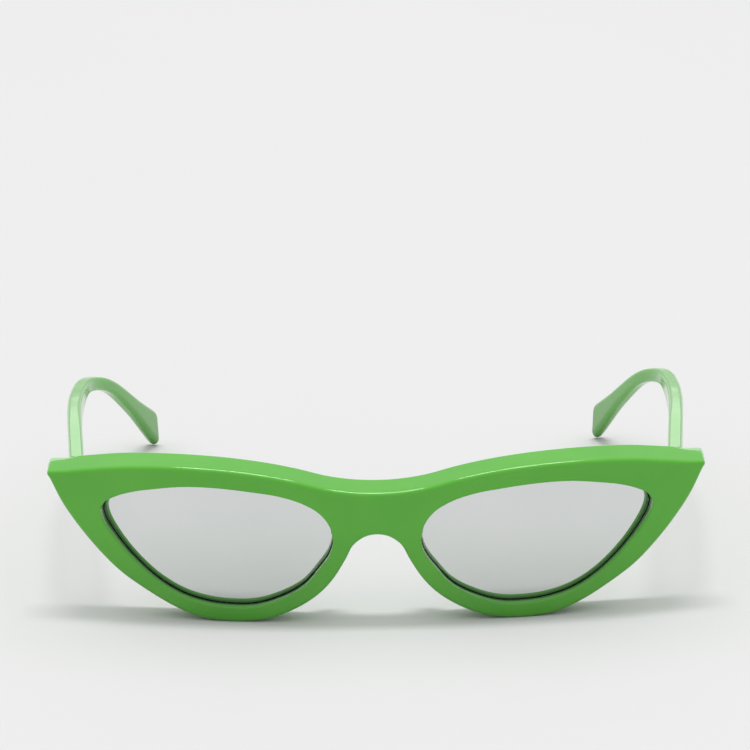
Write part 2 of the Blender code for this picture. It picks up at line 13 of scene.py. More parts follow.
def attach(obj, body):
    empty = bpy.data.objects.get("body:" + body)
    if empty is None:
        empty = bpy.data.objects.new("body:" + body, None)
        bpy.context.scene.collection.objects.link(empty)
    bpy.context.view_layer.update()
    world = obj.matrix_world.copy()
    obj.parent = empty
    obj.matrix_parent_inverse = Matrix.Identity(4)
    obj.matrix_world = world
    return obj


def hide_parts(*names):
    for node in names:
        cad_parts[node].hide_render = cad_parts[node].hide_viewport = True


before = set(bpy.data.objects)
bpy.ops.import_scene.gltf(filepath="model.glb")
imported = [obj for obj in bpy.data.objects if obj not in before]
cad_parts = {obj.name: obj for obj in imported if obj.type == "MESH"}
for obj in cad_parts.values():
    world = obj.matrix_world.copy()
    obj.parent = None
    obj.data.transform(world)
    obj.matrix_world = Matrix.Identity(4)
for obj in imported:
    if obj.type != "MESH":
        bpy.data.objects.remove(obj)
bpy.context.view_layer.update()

MM = 0.001

# ---------------------------------------------------------------- dimensions
Y_SHIFT = -66.55
FACE_RADIUS = 260.0             # horizontal bend of the front
FACE_LEAN = math.radians(7.0)   # its top leans towards the viewer
FRONT_T = 8.4
EDGE_R, EDGE_STEPS = 1.0, 8     # rounding of the outer edges
WING_START, WING_END = 70.0, 77.2       # where the edges' rounding changes to
WING_R, WING_REAR = 0.65, 5.0           # this inset, and this depth at the back
RIM_R, RIM_STEPS = 0.35, 4      # rounding of the lens openings' edges
CONTACT_U = 32.0                # u at which the bend's depth is 0, near the lowest points
FACE_ROWS = 9                   # rows of faces across the front and the back
SEAM_STEPS = 12                 # rows down the middle of the bridge
OUTLINE_STEPS, OPENING_STEPS = 8, 24    # samples between two outline points
WALL_SPLIT = 0.5                # the openings' walls keep the polished acetate this far in; deeper in they take the painted groove shade
SHARP_ANGLE = math.radians(38.0)        # edges steeper than this stay sharp

# The lens is part of a sphere, nearest the face at its centre.  Groove and
# bevel are measured behind the lens's front surface.
LENS_CENTRE = (37.0, 19.0)
LENS_RADIUS = 130.0
LENS_NEAR = 1.2
LENS_T = 1.6
LENS_BEVEL = (0.55, 1.05)
LENS_GAP, BEVEL_REACH = 0.15, 0.5
GROOVE_MOUTH = (-0.3, 1.9)
GROOVE_FLOOR = (0.5, 1.1)
GROOVE_DEPTH = 0.8
LENS_STEPS = 8                  # samples between two points of its outline
LENS_RINGS = [k / 10 for k in range(1, 10)] + [0.97, 0.99, 1.0]     # centre to edge

# Nose pad: centre and long direction on the face (u, v), half sizes, drift
# sideways per millimetre of depth, and (depth, size) down its rounded side.
PAD_CENTRE, PAD_ALONG = (12.2, 12.75), (-0.53, 0.848)
PAD_LONG, PAD_WIDE, PAD_DRIFT = 5.2, 1.5, 0.25
PAD_STEPS = 48
PAD_PROFILE = [(0.1, 0.9), (0.3, 0.97), (0.5, 1.0), (0.9, 0.985), (1.4, 0.94),
               (1.8, 0.85), (2.2, 0.72), (2.45, 0.56), (2.58, 0.36), (2.6, 0.15)]

TEMPLE_L, TEMPLE_T = 142.5, 3.4
TEMPLE_CORNER, CORNER_STEPS = 1.0, 5
TEMPLE_X, TEMPLE_Y, TEMPLE_Z = 71.03, 9.0, 33.0
TEMPLE_SLOPE = math.radians(1.97)
TEMPLE_GAP = 0.15
TIP_ROUND, TIP_LOW_ROUND, TIP_SIDE_ROUND = 2.2, 0.9, 1.0
SLANT_START, TIP_SLANT = 118.0, 6.4     # the tip's end slopes down and back
SIDE_CLOSING = 0.8              # share of TIP_SIDE_ROUND by which the sides close in
CORNER_LIMIT = 0.95             # a corner's radius stays under this share of half a side
CHANNEL_R, CHANNEL_END = 0.85, 75.0
SKIN_START = 6.0                # first section behind the butt joint
CHANNEL_STOPS = (CHANNEL_END, 65.0, 55.0, 45.0, 30.0, 15.0, SKIN_START)
SKIN_STEPS, TIP_STEPS = 90, 10  # sections along the arm and round its tip
TIP_CLOSE = 0.02                # the last section's distance from the end, in radii
TABLE_STEP, TABLE_SPARE = 0.5, 30       # the path's table, and entries past its end
BUTT_ROUNDS = 6                 # rounds that find the butt joint's surface

HINGE_BOTTOM, HINGE_TOP = 29.4, 34.2
HINGE_OFFSET = 1.9
HINGE_ANGLE = math.radians(15.0)
POCKET_DEPTH = 0.25
POCKET_INNER, POCKET_OUTER, POCKET_BACK = -4.6, 1.65, 4     # from the hinge's axis
POCKET_BELOW, POCKET_ABOVE = 0.15, 0.1  # clearance round the leaves' height

# Outline of the right half of the front, (u, v): distance round the front from
# its centre, and height up it.  Clockwise from the top of the bridge.
OUTLINE = [
    (0, 33.3), (5, 33.5), (11.3, 34.4), (18.6, 36.25), (26, 37.6), (34, 38.45),
    (43, 38.8), (51, 38.65), (59, 38.05), (67.4, 36.65), (73, 35.55),
    (75.9, 35.15), (76.95, 34.85), (77.2, 34.2), (76.5, 32.9), (73.8, 27.25),
    (70.0, 21.5), (65.25, 15.75), (60.3, 10.9), (54.6, 6.9), (47.65, 2.88),
    (41.95, 0.6), (35.7, -0.12), (29.9, 0.08), (24.4, 1.17), (18.5, 3.9),
    (13.9, 7.2), (10.5, 10.95), (7.45, 16.05), (5.6, 19.75), (3.6, 21.55),
    (1.9, 22.35), (0, 22.6)]

# Edge of the right lens opening, clockwise from its inner end.
OPENING = [
    (10.2, 21), (10.9, 24.8), (13.2, 28.1), (17.4, 30.7), (22.9, 32.4),
    (28.5, 33.2), (34, 33.75), (39.6, 34.0), (45.2, 33.8), (50.9, 32.95),
    (56.6, 31.75), (60.6, 30.3), (63.4, 28.6), (64.6, 26.4), (64.1, 23.9),
    (61.7, 20.0), (57.3, 14.7), (51.6, 9.5), (45.7, 6.0), (39.8, 4.3),
    (34.3, 3.8), (28.7, 4.1), (23.2, 5.9), (17.5, 9.2), (13.6, 13.8),
    (11.1, 17.5)]

# Temple: heading in plan (degrees outward), downward turn, height of the
# section and radius of its lower corners, each against distance along it.
TEMPLE_HEADING = [(0, 4.5), (35, 4.5), (77, -2.5), (97, -19.7), (130, -16.4)]
TEMPLE_TURN = [(0, 0), (76, 0), (93, 12.9), (112, 32.4), (142.5, 32.4)]
TEMPLE_HEIGHT = [(0, 8.6), (30, 8.6), (60, 6.5), (88, 3.6), (102, 3.3),
                 (120, 4.3), (142.5, 7.5)]
LOWER_CORNER = [(0, 1.0), (100, 1.0), (142.5, 1.6)]


# ------------------------------------------------------------------ geometry
def smooth_table(table, x):
    """Monotone cubic through the table's points, level past its ends."""
    if x <= table[0][0]:
        return float(table[0][1])
    if x >= table[-1][0]:
        return float(table[-1][1])
    slopes = [(y1 - y0) / (x1 - x0) for (x0, y0), (x1, y1) in zip(table, table[1:])]

    def tangent(i):
        if i in (0, len(table) - 1) or slopes[i - 1] * slopes[i] <= 0:
            return 0.0
        return 2 / (1 / slopes[i - 1] + 1 / slopes[i])

    i = max(k for k, (x0, _) in enumerate(table) if x0 <= x)
    (x0, y0), (x1, y1) = table[i], table[i + 1]
    w = x1 - x0
    t = (x - x0) / w
    return ((1 + 2 * t) * (1 - t) ** 2 * y0 + t * t * (3 - 2 * t) * y1
            + t * (1 - t) ** 2 * w * tangent(i) - t * t * (1 - t) * w * tangent(i + 1))


def curve(points, steps, closed):
    """Smooth curve through the points, `steps` samples to each span."""
    n = len(points)
    pts = [Vector(p) for p in points]

    def at(i):
        if closed:
            return pts[i % n]
        if i < 0:                      # mirror at u = 0 for the half outline
            return Vector((-pts[-i].x, pts[-i].y))
        if i >= n:
            j = 2 * (n - 1) - i
            return Vector((-pts[j].x, pts[j].y))
        return pts[i]

    out = []
    for i in range(n if closed else n - 1):
        p0, p1, p2, p3 = at(i - 1), at(i), at(i + 1), at(i + 2)
        t0 = 0.0
        t1 = t0 + (p1 - p0).length ** 0.5
        t2 = t1 + (p2 - p1).length ** 0.5
        t3 = t2 + (p3 - p2).length ** 0.5
        for k in range(steps):
            t = t1 + (t2 - t1) * k / steps
            a1 = p0.lerp(p1, (t - t0) / (t1 - t0))
            a2 = p1.lerp(p2, (t - t1) / (t2 - t1))
            a3 = p2.lerp(p3, (t - t2) / (t3 - t2))
            b1 = a1.lerp(a2, (t - t0) / (t2 - t0))
            b2 = a2.lerp(a3, (t - t1) / (t3 - t1))
            out.append(b1.lerp(b2, (t - t1) / (t2 - t1)))
    if not closed:
        out.append(pts[-1].copy())
    return out


def left_normals(pts, closed):
    """Unit normals on the left of the direction of travel."""
    n, out = len(pts), []
    for i in range(n):
        a = pts[(i - 1) % n] if closed or i else pts[0]
        b = pts[(i + 1) % n] if closed or i < n - 1 else pts[-1]
        d = (b - a).normalized()
        out.append(Vector((-d.y, d.x)))
    if not closed:
        out[0] = Vector((0, 1))
        out[-1] = Vector((0, -1))
    return out


def opening_at(angle, dense):
    """Point and inward normal of the opening on a ray from the lens centre."""
    best = None
    c = Vector(LENS_CENTRE)
    ray = Vector((math.cos(angle), math.sin(angle)))
    for i, p in enumerate(dense):
        q = dense[(i + 1) % len(dense)]
        a, b = p - c, q - c
        ca, cb = ray.x * a.y - ray.y * a.x, ray.x * b.y - ray.y * b.x
        if ca >= 0 > cb and ray.dot(a + b) > 0:
            t = ca / (ca - cb)
            d = (q - p).normalized()
            best = (p.lerp(q, t), Vector((d.y, -d.x)))
    return best


def face_point(u, v, w):
    """u round the front, v up it, w the depth behind its front surface."""
    th = u / FACE_RADIUS
    x = (FACE_RADIUS - w) * math.sin(th)
    back = (FACE_RADIUS * math.cos(CONTACT_U / FACE_RADIUS)
            - (FACE_RADIUS - w) * math.cos(th))
    return Vector((x, back * math.cos(FACE_LEAN) - v * math.sin(FACE_LEAN),
                   back * math.sin(FACE_LEAN) + v * math.cos(FACE_LEAN)))


def straight_back(p, w):
    """The (u, v) at depth w that lies straight behind a point of the face."""
    s = FACE_RADIUS * math.sin(p.x / FACE_RADIUS) / (FACE_RADIUS - w)
    return Vector((FACE_RADIUS * math.asin(s), p.y))


def lens_depth(p):
    """Depth of the lens's front surface behind the face."""
    u, v = p.x - LENS_CENTRE[0], p.y - LENS_CENTRE[1]
    bend = 1 / LENS_RADIUS - 1 / FACE_RADIUS
    return LENS_NEAR + (u * u * bend + v * v / LENS_RADIUS) / 2


def face_depth(p):
    """The depth w of a point in space behind the front surface."""
    back = p.y * math.cos(FACE_LEAN) + p.z * math.sin(FACE_LEAN)
    reach = FACE_RADIUS * math.cos(CONTACT_U / FACE_RADIUS) - back
    return FACE_RADIUS - math.hypot(p.x, reach)


def quarter(inset, depth, steps):
    """(inset, depth) pairs of a rounded edge, from the face to the side."""
    angles = [math.pi / 2 * k / steps for k in range(steps + 1)]
    return [(inset * (1 - math.sin(a)), depth * (1 - math.cos(a))) for a in angles]


# -------------------------------------------------------------------- meshes
def make_mesh(name, verts, faces, mirror=False):
    """A closed body from millimetre vertices, facing outwards."""
    s = -1.0 if mirror else 1.0
    me = bpy.data.meshes.new(name)
    me.from_pydata([(s * v[0] * MM, (v[1] + Y_SHIFT) * MM, v[2] * MM) for v in verts],
                   [], faces)
    bm = bmesh.new()
    bm.from_mesh(me)
    bmesh.ops.remove_doubles(bm, verts=bm.verts, dist=1e-7)
    bmesh.ops.recalc_face_normals(bm, faces=bm.faces)
    if bm.calc_volume(signed=True) < 0:
        bmesh.ops.reverse_faces(bm, faces=bm.faces)
    bm.to_mesh(me)
    bm.free()
    ob = bpy.data.objects.new(name, me)
    bpy.context.scene.collection.objects.link(ob)
    return ob


def finish_piece(ob, materials, body, node):
    """Smooth shading, materials, and the piece's place in the frame."""
    for m in materials:
        ob.data.materials.append(m)
    ob.data.shade_smooth()
    ob.data.set_sharp_from_angle(angle=SHARP_ANGLE)
    weighted = ob.modifiers.new("face_normals", 'WEIGHTED_NORMAL')
    weighted.keep_sharp = True
    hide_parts(node)
    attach(ob, body)


def ring_body(rings):
    """Vertices and faces of a body skinned over rings of equal length."""
    n = len(rings[0])
    verts = [p for r in rings for p in r]
    faces = []
    for i in range(len(rings) - 1):
        a, b = i * n, (i + 1) * n
        for k in range(n):
            k2 = (k + 1) % n
            faces.append((a + k, a + k2, b + k2, b + k))
    faces.append(tuple(range(n))[::-1])
    faces.append(tuple(range((len(rings) - 1) * n, len(rings) * n)))
    return verts, faces


def front_stations():
    """Outline points paired with opening points on rays from the lens."""
    dense = curve(OPENING, OPENING_STEPS, True)
    outer = curve(OUTLINE, OUTLINE_STEPS, False)
    stations = [(p, n, True) for p, n in zip(outer, left_normals(outer, False))]
    top, low = OUTLINE[0][1] - EDGE_R, OUTLINE[-1][1] + EDGE_R
    for k in range(1, SEAM_STEPS):
        stations.append((Vector((0, low + (top - low) * k / SEAM_STEPS)), None, False))
    c = Vector(LENS_CENTRE)
    out = []
    for p, n, edge in stations:
        d = p - c
        out.append((p, n, edge) + opening_at(math.atan2(d.y, d.x), dense))
    return out


def front_section(p, n, edge, hole, inward):
    """(point, depth) pairs round one section, and how many are not the edge."""
    t = FRONT_T
    wing = min(max((p.x - WING_START) / (WING_END - WING_START), 0), 1)
    r = EDGE_R + (WING_R - EDGE_R) * wing
    depth = EDGE_R + (WING_REAR - EDGE_R) * wing
    start = p - n * r if edge else p
    rear = straight_back(start, t) if edge else p
    stop = hole - inward * RIM_R
    rim = quarter(RIM_R, RIM_R, RIM_STEPS)
    mouth = [lens_depth(hole) + w for w in GROOVE_MOUTH]
    floor = [lens_depth(hole) + w for w in GROOVE_FLOOR]
    section = [(start.lerp(stop, k / FACE_ROWS), 0.0) for k in range(FACE_ROWS + 1)]
    section += [(hole - inward * a, w) for a, w in rim[1:]]
    section += [(hole, RIM_R + (mouth[0] - RIM_R) * WALL_SPLIT)]
    section += [(hole, mouth[0]), (hole - inward * GROOVE_DEPTH, floor[0]),
                (hole - inward * GROOVE_DEPTH, floor[1]), (hole, mouth[1])]
    section += [(hole - inward * a, t - w) for a, w in reversed(rim[1:])]
    section += [(stop.lerp(rear, k / FACE_ROWS), t) for k in range(FACE_ROWS + 1)]
    inner = len(section)
    if edge:
        side = [(p - n * a, t - w) for a, w in quarter(r, depth, EDGE_STEPS)[1:]]
        side += [(p - n * a, w) for a, w in reversed(quarter(r, r, EDGE_STEPS)[1:])]
        section += [(straight_back(a, w), w) for a, w in side]
    return section, inner


def build_front(name, materials):
    """The whole front.  Material 0 is polished; material 1, on the groove and the
    rear half of the openings' walls, is a darker green of painted shade."""
    rows, inner = [], 0
    for station in front_stations():
        section, inner = front_section(*station)
        rows.append([face_point(a.x, a.y, w) for a, w in section])
    full = max(len(row) for row in rows)
    verts, index = [], []
    for row in rows:
        index.append(range(len(verts), len(verts) + len(row)))
        verts += row
    faces, kinds = [], []
    split = FACE_ROWS + RIM_STEPS + 1           # row where the painted groove shade begins
    for i, a in enumerate(index):
        b = index[(i + 1) % len(index)]
        for j in range(inner - 1):
            faces.append((a[j], a[j + 1], b[j + 1], b[j]))
            kinds.append(1 if split <= j < split + 4 else 0)
        if len(a) == full and len(b) == full:
            for j in range(inner - 1, full):
                j2 = (j + 1) % full
                faces.append((a[j], a[j2], b[j2], b[j]))
                kinds.append(0)
    base = len(verts)
    verts += [Vector((-v.x, v.y, v.z)) for v in verts]
    faces += [tuple(base + i for i in reversed(f)) for f in faces]
    ob = make_mesh(name, verts, faces)
    for m in materials:
        ob.data.materials.append(m)
    for face, kind in zip(ob.data.polygons, kinds + kinds):
        face.material_index = kind
    return ob


def build_lens(name, mirror):
    """Front surface, bevelled edge in the groove, and rear surface; the faces'
    material index is 0 in front, 1 behind and 2 at the edge."""
    edge = curve(OPENING, LENS_STEPS, True)
    inward = [-n for n in left_normals(edge, True)]
    c = Vector(LENS_CENTRE)
    body = [p + n * LENS_GAP for p, n in zip(edge, inward)]
    tip = [p - n * BEVEL_REACH for p, n in zip(edge, inward)]
    verts, rings = [], []

    def ring(pts, behind):
        rings.append(len(verts))
        verts.extend(face_point(p.x, p.y, lens_depth(p) + behind) for p in pts)

    for f in LENS_RINGS:
        ring([c.lerp(p, f) for p in body], 0.0)
    ring(tip, LENS_BEVEL[0])
    ring(tip, LENS_BEVEL[1])
    for f in reversed(LENS_RINGS):
        ring([c.lerp(p, f) for p in body], LENS_T)
    n = len(edge)
    faces, kinds = [], []
    last = len(LENS_RINGS) - 1
    for i, (a, b) in enumerate(zip(rings, rings[1:])):
        kind = 0 if i < last else 2 if i < last + 3 else 1
        for k in range(n):
            k2 = (k + 1) % n
            faces.append((a + k, b + k, b + k2, a + k2))
            kinds.append(kind)
    for start, behind, kind in ((rings[0], 0.0, 0), (rings[-1], LENS_T, 1)):
        mid = len(verts)
        verts.append(face_point(c.x, c.y, lens_depth(c) + behind))
        for k in range(n):
            faces.append((mid, start + k, start + (k + 1) % n))
            kinds.append(kind)
    ob = make_mesh(name, verts, faces, mirror)
    for face, kind in zip(ob.data.polygons, kinds):
        face.material_index = kind
    return ob


def build_nose_pad(name, mirror):
    """A low rounded pad bonded behind the rim beside the nose."""
    centre, along = Vector(PAD_CENTRE), Vector(PAD_ALONG)
    across = Vector((along.y, -along.x))
    rings = []
    for w, size in PAD_PROFILE:
        loop = []
        for k in range(PAD_STEPS):
            a = 2 * math.pi * k / PAD_STEPS
            p = (centre + along * (PAD_LONG * size * math.cos(a))
                 + across * (PAD_WIDE * size * math.sin(a) - PAD_DRIFT * w))
            loop.append(face_point(p.x, p.y, FRONT_T + w))
        rings.append(loop)
    return make_mesh(name, *ring_body(rings), mirror)


# ------------------------------------------------------------------- temples
def temple_tables():
    """The path's step, and its plan and side positions at every step."""
    step, plan, side = TABLE_STEP, [], []
    x, y = TEMPLE_X, TEMPLE_Y
    s = z = 0.0
    for i in range(int(TEMPLE_L / step) + TABLE_SPARE):
        h = math.radians(smooth_table(TEMPLE_HEADING, (i + 0.5) * step))
        plan.append((x, y))
        x += math.sin(h) * step
        y += math.cos(h) * step
        a = math.radians(smooth_table(TEMPLE_TURN, (i + 0.5) * step))
        side.append((s, z))
        s += math.cos(a) * step
        z -= math.sin(a) * step
    return step, plan, side


def sample(table, step, at):
    """The pair of values at distance `at` along an evenly spaced table."""
    i = min(max(int(math.floor(at / step)), 0), len(table) - 2)
    f = at / step - i
    (a, b), (c, d) = table[i], table[i + 1]
    return a + (c - a) * f, b + (d - b) * f


TABLES = temple_tables()


def temple_point(q, n, b):
    """q along the temple, n inwards from its outer face, b up its section."""
    step, plan, side = TABLES
    s, z = sample(side, step, q)
    turn = math.radians(smooth_table(TEMPLE_TURN, q))
    s += b * math.sin(turn)
    z += b * math.cos(turn)
    x, y = sample(plan, step, s)
    h = math.radians(smooth_table(TEMPLE_HEADING, s))
    x -= n * math.cos(h)
    y += n * math.sin(h) - TEMPLE_Y
    c, d = math.cos(TEMPLE_SLOPE), math.sin(TEMPLE_SLOPE)
    return Vector((x, TEMPLE_Y + y * c + z * d, TEMPLE_Z - y * d + z * c))


def butt_point(n, b):
    """The temple's end, cut to lie against the back of the front."""
    q = 0.0
    for _ in range(BUTT_ROUNDS):
        q += FRONT_T + TEMPLE_GAP - face_depth(temple_point(q, n, b))
    return temple_point(q, n, b)


def closing(q, radius):
    """How far a surface has rounded inwards at distance q, near the tip."""
    past = max(q - (TEMPLE_L - radius), 0.0)
    return radius - math.sqrt(max(radius ** 2 - past ** 2, 0.0))


def section_point(i, at, q):
    """Point i of the rounded section (n, b) at distance `at`, closed in as far
    as the end of the tip asks for at distance q."""
    half = smooth_table(TEMPLE_HEIGHT, at) / 2
    inset = SIDE_CLOSING * closing(q, TIP_SIDE_ROUND)
    n0, n1 = inset, TEMPLE_T - inset
    b0, b1 = closing(q, TIP_LOW_ROUND) - half, half - closing(q, TIP_ROUND)
    corner, step = divmod(i, CORNER_STEPS + 1)
    r = TEMPLE_CORNER if corner < 2 else smooth_table(LOWER_CORNER, at)
    r = min(r, CORNER_LIMIT * (b1 - b0) / 2, CORNER_LIMIT * (n1 - n0) / 2)
    n = n1 - r if corner in (0, 3) else n0 + r
    b = b1 - r if corner < 2 else b0 + r
    a = math.radians(90 * (corner + step / CORNER_STEPS))
    return n + r * math.cos(a), b + r * math.sin(a)


def temple_section(q):
    """The whole section at q as (n, b) pairs."""
    return [section_point(i, q, q) for i in range(4 * (CORNER_STEPS + 1))]


def temple_ring(q):
    """Points round the temple; near the tip the upper ones lie further forward."""
    lean = TIP_SLANT * max(q - SLANT_START, 0) / (TEMPLE_L - SLANT_START)
    ring = []
    for i, (n, b) in enumerate(temple_section(q)):
        at = q - lean * (b / smooth_table(TEMPLE_HEIGHT, q) + 0.5)
        ring.append(temple_point(at, *section_point(i, at, q)))
    return ring


def channel_section():
    """Circle of the core wire's channel, ordered as the sections are."""
    count = 4 * (CORNER_STEPS + 1)
    return [(TEMPLE_T / 2 + CHANNEL_R * math.cos(a), CHANNEL_R * math.sin(a))
            for a in (2 * math.pi * k / count for k in range(count))]


def build_temple(name, mirror):
    """Skin from the blind end of the wire's channel, out of its mouth at the
    butt joint, and back along the outside to the tip."""
    channel = channel_section()
    rings = [[temple_point(q, n, b) for n, b in channel] for q in CHANNEL_STOPS]
    rings.append([butt_point(n, b) for n, b in channel])
    rings.append([butt_point(n, b) for n, b in temple_section(0.0)])
    end = TEMPLE_L - TIP_ROUND
    stops = [SKIN_START + (end - SKIN_START) * k / SKIN_STEPS
             for k in range(SKIN_STEPS + 1)]
    stops += [TEMPLE_L - TIP_ROUND * (1 - math.sin(math.pi / 2 * k / TIP_STEPS))
              for k in range(1, TIP_STEPS)]
    stops.append(TEMPLE_L - TIP_CLOSE * TIP_ROUND)
    rings += [temple_ring(q) for q in stops]
    return make_mesh(name, *ring_body(rings), mirror)


# ---------------------------------------------------------------- hinge seat
def rear_point(theta, z):
    """The point of the front's back surface at a plan angle and height."""
    back = (FACE_RADIUS * math.cos(CONTACT_U / FACE_RADIUS)
            - (FACE_RADIUS - FRONT_T) * math.cos(theta))
    v = (z - back * math.sin(FACE_LEAN)) / math.cos(FACE_LEAN)
    return face_point(theta * FACE_RADIUS, v, FRONT_T)


def hinge_frames():
    """Axis of the right hinge and the plan directions beside the front."""
    h = math.radians(TEMPLE_HEADING[0][1])
    out, aft = Vector((math.cos(h), -math.sin(h))), Vector((math.sin(h), math.cos(h)))
    along = Vector((math.cos(HINGE_ANGLE), math.sin(HINGE_ANGLE)))
    behind = Vector((-math.sin(HINGE_ANGLE), math.cos(HINGE_ANGLE)))
    rear = rear_point(HINGE_ANGLE, HINGE_TOP + POCKET_ABOVE).to_2d()
    floor = rear - behind * POCKET_DEPTH
    inner = temple_point(0.0, TEMPLE_T, 0.0).to_2d() - out * HINGE_OFFSET
    k = (HINGE_OFFSET - (inner - floor).dot(behind)) / aft.dot(behind)
    return inner + aft * k, along, behind


def cut_hinge_pockets(front):
    """Pockets in the back of the front for the hinges' leaves."""
    axis, along, behind = hinge_frames()

    def at(a, b):
        return axis + along * a + behind * b

    plan = [at(POCKET_INNER, -HINGE_OFFSET), at(POCKET_OUTER, -HINGE_OFFSET),
            at(POCKET_OUTER, POCKET_BACK), at(POCKET_INNER, POCKET_BACK)]
    rings = [[Vector((p.x, p.y, z)) for p in plan]
             for z in (HINGE_BOTTOM - POCKET_BELOW, HINGE_TOP + POCKET_ABOVE)]
    for mirror in (False, True):
        tool = make_mesh("pocket", *ring_body(rings), mirror)
        cut = front.modifiers.new("pocket", 'BOOLEAN')
        cut.operation, cut.solver, cut.object = 'DIFFERENCE', 'EXACT', tool
        graph = bpy.context.evaluated_depsgraph_get()
        mesh = bpy.data.meshes.new_from_object(front.evaluated_get(graph))
        front.modifiers.clear()
        front.data = mesh
        bpy.data.objects.remove(tool, do_unlink=True)


# ----------------------------------------------------------------- materials
NOISE_LOW, NOISE_HIGH = 0.3, 0.7        # most of a noise lies between these


class Nodes:
    """A short way to write a node tree."""

    def __init__(self, tree):
        self.tree = tree

    def add(self, kind, **values):
        node = self.tree.nodes.new(kind)
        for key, value in values.items():
            setattr(node, key, value)
        return node

    def link(self, output, target):
        self.tree.links.new(output, target)


def new_material(name, metallic, roughness):
    m = bpy.data.materials.new(name)
    m.use_nodes = True
    shader = m.node_tree.nodes["Principled BSDF"]
    shader.inputs["Metallic"].default_value = metallic
    shader.inputs["Roughness"].default_value = roughness
    return m, Nodes(m.node_tree), shader


def noise(nodes, scale, detail, rough=0.5):
    coords = nodes.add("ShaderNodeTexCoord")
    tex = nodes.add("ShaderNodeTexNoise")
    tex.inputs["Scale"].default_value = scale
    tex.inputs["Detail"].default_value = detail
    tex.inputs["Roughness"].default_value = rough
    nodes.link(coords.outputs["Object"], tex.inputs["Vector"])
    return tex.outputs["Fac"]


def ramp(nodes, factor, stops):
    """A colour ramp; stops are (position, grey or colour)."""
    node = nodes.add("ShaderNodeValToRGB")
    elements = node.color_ramp.elements
    for k, (place, value) in enumerate(stops):
        element = elements[k] if k < 2 else elements.new(place)
        element.position = place
        colour = value if isinstance(value, tuple) else (value, value, value)
        element.color = (*colour, 1.0)
    nodes.link(factor, node.inputs["Fac"])
    return node.outputs["Color"]


def map_range(nodes, value, low, high, start=0.0, stop=1.0):
    node = nodes.add("ShaderNodeMapRange")
    for key, number in (("From Min", start), ("From Max", stop),
                        ("To Min", low), ("To Max", high)):
        node.inputs[key].default_value = number
    nodes.link(value, node.inputs["Value"])
    return node.outputs["Result"]


def two_tone(nodes, cloud, dark, light):
    """A colour that drifts between two with a noise."""
    return ramp(nodes, cloud, [(NOISE_LOW, dark), (NOISE_HIGH, light)])


def drift(nodes, cloud, low, high):
    """A value that drifts between two with a noise."""
    return map_range(nodes, cloud, low, high, NOISE_LOW, NOISE_HIGH)


def bump(nodes, shader, height, distance, strength):
    node = nodes.add("ShaderNodeBump")
    node.inputs["Distance"].default_value = distance
    node.inputs["Strength"].default_value = strength
    nodes.link(height, node.inputs["Height"])
    nodes.link(node.outputs["Normal"], shader.inputs["Normal"])


# Painted shade: the acetate's colour is scaled from the darkest factor at the table
# to 1 at the given height. It matches how dark the lower rims look, which is
# shade near the table, not a property of the plastic.
SHADE_BELOW, SHADE_DARKEST = 24.0, 0.74


def acetate(name, dark, light):
    """Polished cellulose acetate: cloudy pigment, painted shade darkening it towards
    the table, and soft polish marks."""
    m, nodes, shader = new_material(name, metallic=0.0, roughness=0.12)
    cloud = two_tone(nodes, noise(nodes, scale=55.0, detail=3.0), dark, light)
    coords = nodes.add("ShaderNodeTexCoord")
    split = nodes.add("ShaderNodeSeparateXYZ")
    nodes.link(coords.outputs["Object"], split.inputs["Vector"])
    # painted shade: the colour darkens towards the table
    depth = map_range(nodes, split.outputs["Z"], SHADE_DARKEST, 1.0, 0.0, SHADE_BELOW * MM)
    paint_shade = nodes.add("ShaderNodeVectorMath", operation='MULTIPLY')
    nodes.link(cloud, paint_shade.inputs[0])
    nodes.link(depth, paint_shade.inputs[1])
    nodes.link(paint_shade.outputs["Vector"], shader.inputs["Base Color"])
    haze = noise(nodes, scale=320.0, detail=4.0, rough=0.6)
    nodes.link(drift(nodes, haze, low=0.09, high=0.17), shader.inputs["Roughness"])
    marks = noise(nodes, scale=240.0, detail=2.0)
    bump(nodes, shader, marks, distance=0.00004, strength=0.35)
    shader.inputs["Coat Weight"].default_value = 0.35
    shader.inputs["Coat Roughness"].default_value = 0.04
    return m


def mirror_coat():
    """Silver flash coating on the lens, with a faint cloudy variation."""
    m, nodes, shader = new_material("lens_mirror_coat", metallic=1.0, roughness=0.05)
    cloud = noise(nodes, scale=30.0, detail=2.0)
    dark, light = (0.70, 0.725, 0.715), (0.735, 0.755, 0.745)
    nodes.link(two_tone(nodes, cloud, dark, light), shader.inputs["Base Color"])
    haze = noise(nodes, scale=500.0, detail=3.0)
    nodes.link(drift(nodes, haze, low=0.03, high=0.07), shader.inputs["Roughness"])
    return m


def clouded(name, dark, light, roughness):
    """A plain surface with a faint cloud in its colour and its gloss."""
    m, nodes, shader = new_material(name, 0.0, roughness)
    cloud = noise(nodes, scale=40.0, detail=2.0)
    nodes.link(two_tone(nodes, cloud, dark, light), shader.inputs["Base Color"])
    haze = noise(nodes, scale=400.0, detail=3.0)
    nodes.link(drift(nodes, haze, low=roughness * 0.7, high=roughness * 1.4),
               shader.inputs["Roughness"])
    return m


def metal(name, dark, light, low, high, grain):
    """Drawn or turned metal: fine marks stretched by `grain` (a scale per axis),
    with a roughness between low and high."""
    m, nodes, shader = new_material(name, metallic=1.0, roughness=0.3)
    coords = nodes.add("ShaderNodeTexCoord")
    stretch = nodes.add("ShaderNodeMapping")
    stretch.inputs["Scale"].default_value = grain
    tex = nodes.add("ShaderNodeTexNoise")
    tex.inputs["Scale"].default_value = 900.0
    tex.inputs["Detail"].default_value = 4.0
    nodes.link(coords.outputs["Object"], stretch.inputs["Vector"])
    nodes.link(stretch.outputs["Vector"], tex.inputs["Vector"])
    marks = tex.outputs["Fac"]
    nodes.link(two_tone(nodes, marks, dark, light), shader.inputs["Base Color"])
    nodes.link(drift(nodes, marks, low, high), shader.inputs["Roughness"])
    bump(nodes, shader, marks, distance=0.00002, strength=0.4)
    return m


